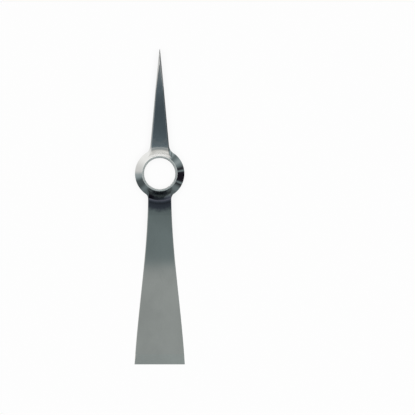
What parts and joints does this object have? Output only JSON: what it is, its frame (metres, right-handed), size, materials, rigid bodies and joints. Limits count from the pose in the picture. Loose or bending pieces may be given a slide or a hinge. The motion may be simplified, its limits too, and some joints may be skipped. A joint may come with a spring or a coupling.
{
  "type": "cutter mattock head",
  "caption": "Forged steel cutter mattock head: a tapered round eye for a handle, with a bearded axe blade on one side and a curved adze blade on the other.",
  "frame": {"origin": "on the axis of the eye, in the plane of its wide end, the face that the head lies on", "axes": "+Z along the axis of the eye from its wide end towards the grip, +X towards the adze edge, -X towards the axe edge, Y across the width of the adze"},
  "size_m": [0.3944, 0.0628, 0.0839],
  "materials": {
    "eye_socket": "forged steel, polished bright all round",
    "axe_blade": "forged steel, brushed satin grey",
    "axe_edge": "hardened steel, ground bright",
    "adze_blade": "forged steel, brushed satin grey",
    "adze_edge": "hardened steel, ground"
  },
  "bodies": {
    "root": {"eye_socket": "eye_socket", "axe_blade": "axe_blade", "axe_edge": "axe_edge", "adze_blade": "adze_blade", "adze_edge": "adze_edge"}
  },
  "joints": []
}
